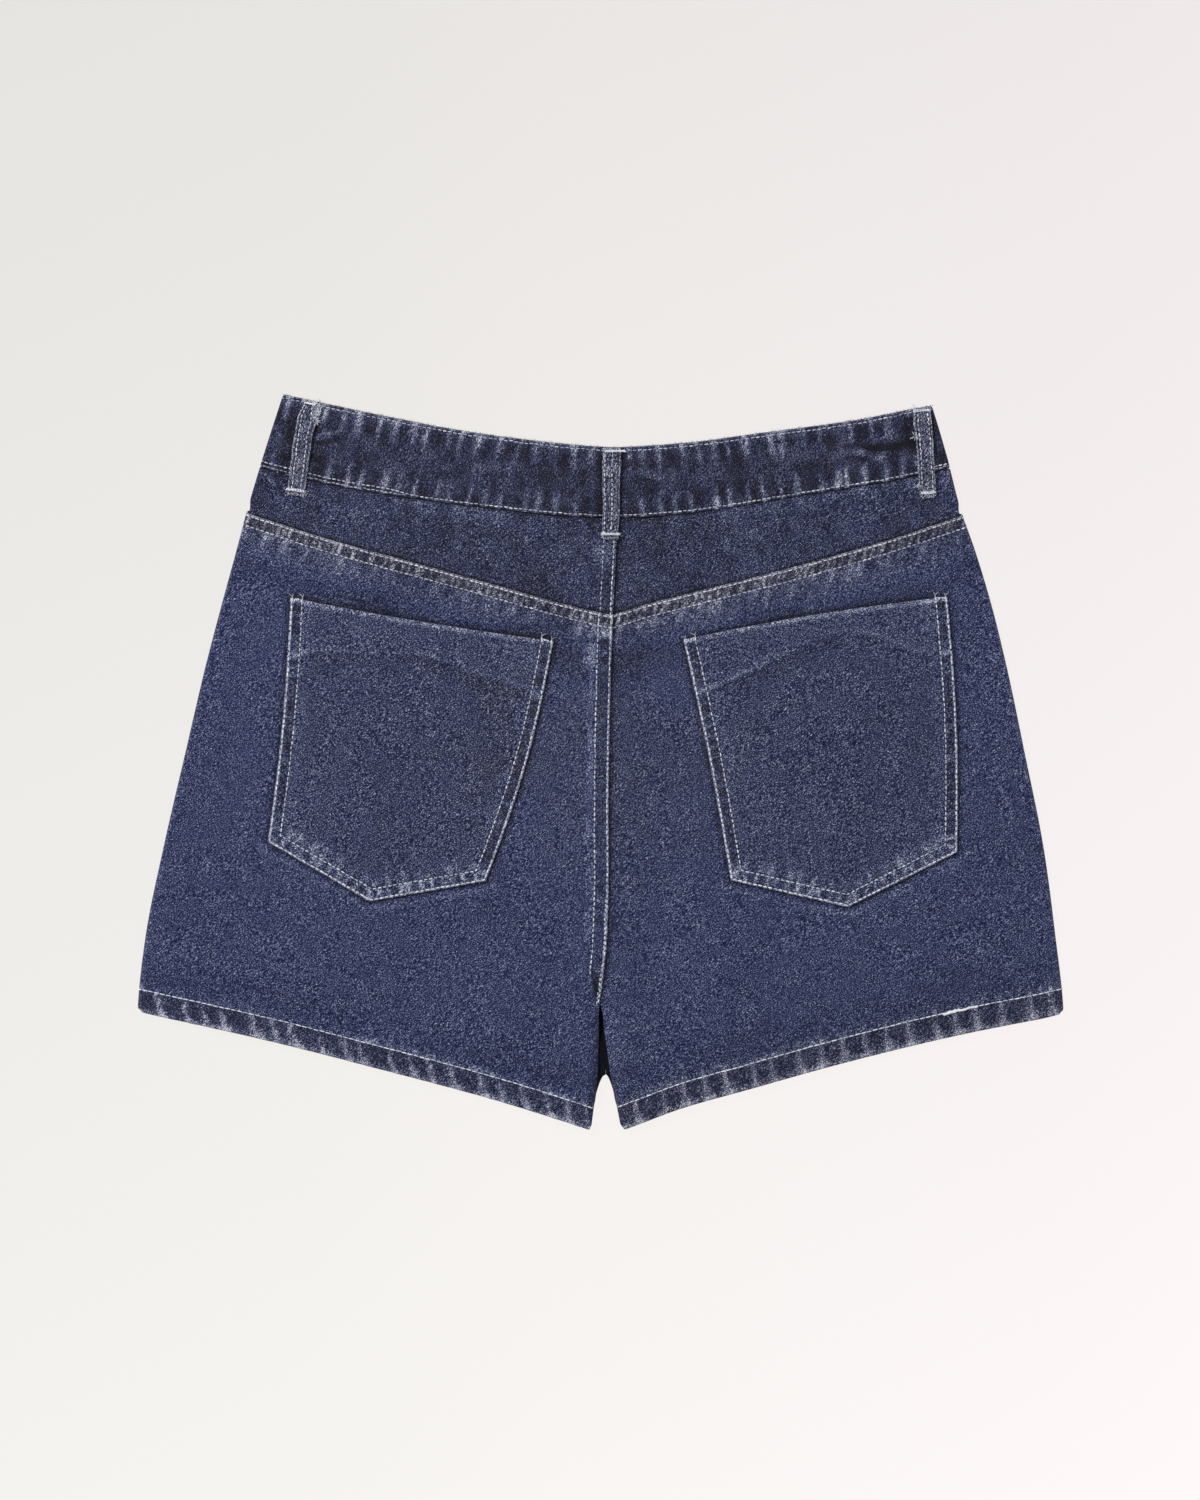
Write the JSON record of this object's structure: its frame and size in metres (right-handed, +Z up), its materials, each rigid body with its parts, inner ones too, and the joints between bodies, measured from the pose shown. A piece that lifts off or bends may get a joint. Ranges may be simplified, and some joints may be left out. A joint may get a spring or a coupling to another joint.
{
  "type": "denim skort",
  "caption": "Blue denim skort laid flat on its front: shorts back with yoke, patch pockets and belt loops, skirt panel beneath.",
  "frame": {"origin": "middle of the outline, on the surface that the garment lies on", "axes": "+X across the garment, +Y from hem to waist, +Z up out of the garment's back"},
  "size_m": [0.5182, 0.4101, 0.0128],
  "materials": {
    "denim": "indigo twill, washed",
    "thread": "topstitching thread, matt",
    "button_metal": "satin"
  },
  "bodies": {
    "root": {"waistband": "denim", "yoke_left": "denim", "yoke_right": "denim", "back_leg_left": "denim", "back_leg_right": "denim", "pocket_left": "denim", "pocket_right": "denim", "belt_loop_back_left": "denim", "belt_loop_back_centre": "denim", "belt_loop_back_right": "denim", "belt_loop_front_left": "denim", "belt_loop_front_right": "denim", "front_leg_left": "denim", "front_leg_right": "denim", "skirt_front_left": "denim", "skirt_front_right": "denim", "button": "button_metal"}
  },
  "joints": []
}
